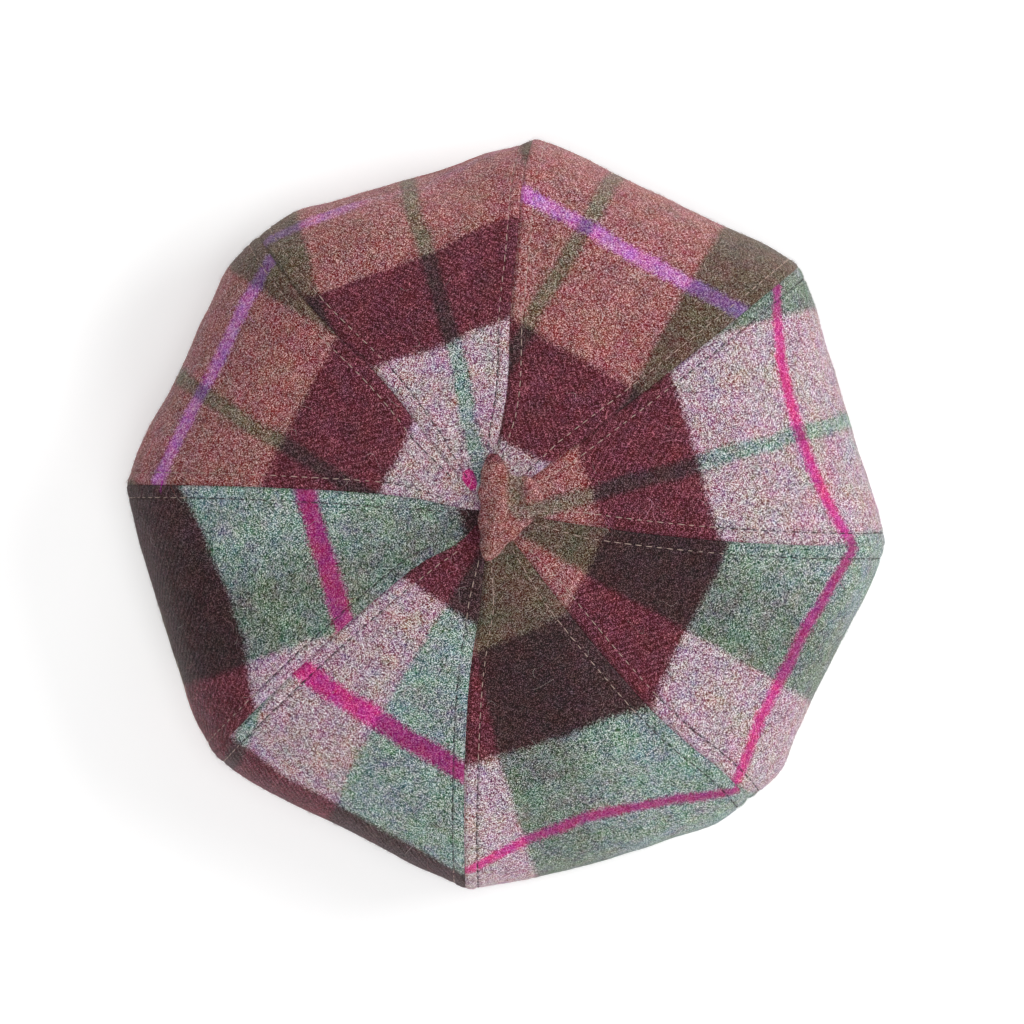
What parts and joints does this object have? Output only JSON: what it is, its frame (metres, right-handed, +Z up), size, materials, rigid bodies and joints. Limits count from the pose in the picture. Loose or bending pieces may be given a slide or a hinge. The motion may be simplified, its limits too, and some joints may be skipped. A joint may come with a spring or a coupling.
{
  "type": "tam o'shanter hat",
  "caption": "Soft wool tam o'shanter in block-check tweed: gores meet under a cloth button, turn over a soft edge and join a headband.",
  "frame": {"origin": "middle of the object's plan, on the surface that the headband rests on", "axes": "+Z up through the crown. Seen from above, +X is the right of the picture and +Y its top"},
  "size_m": [0.2896, 0.2872, 0.0873],
  "materials": {
    "check_tweed": "napped wool twill"
  },
  "bodies": {
    "root": {"crown_panel_1": "check_tweed", "crown_panel_2": "check_tweed", "crown_panel_3": "check_tweed", "crown_panel_4": "check_tweed", "crown_panel_5": "check_tweed", "crown_panel_6": "check_tweed", "crown_panel_7": "check_tweed", "crown_panel_8": "check_tweed", "headband": "check_tweed", "centre_button": "check_tweed"}
  },
  "joints": []
}
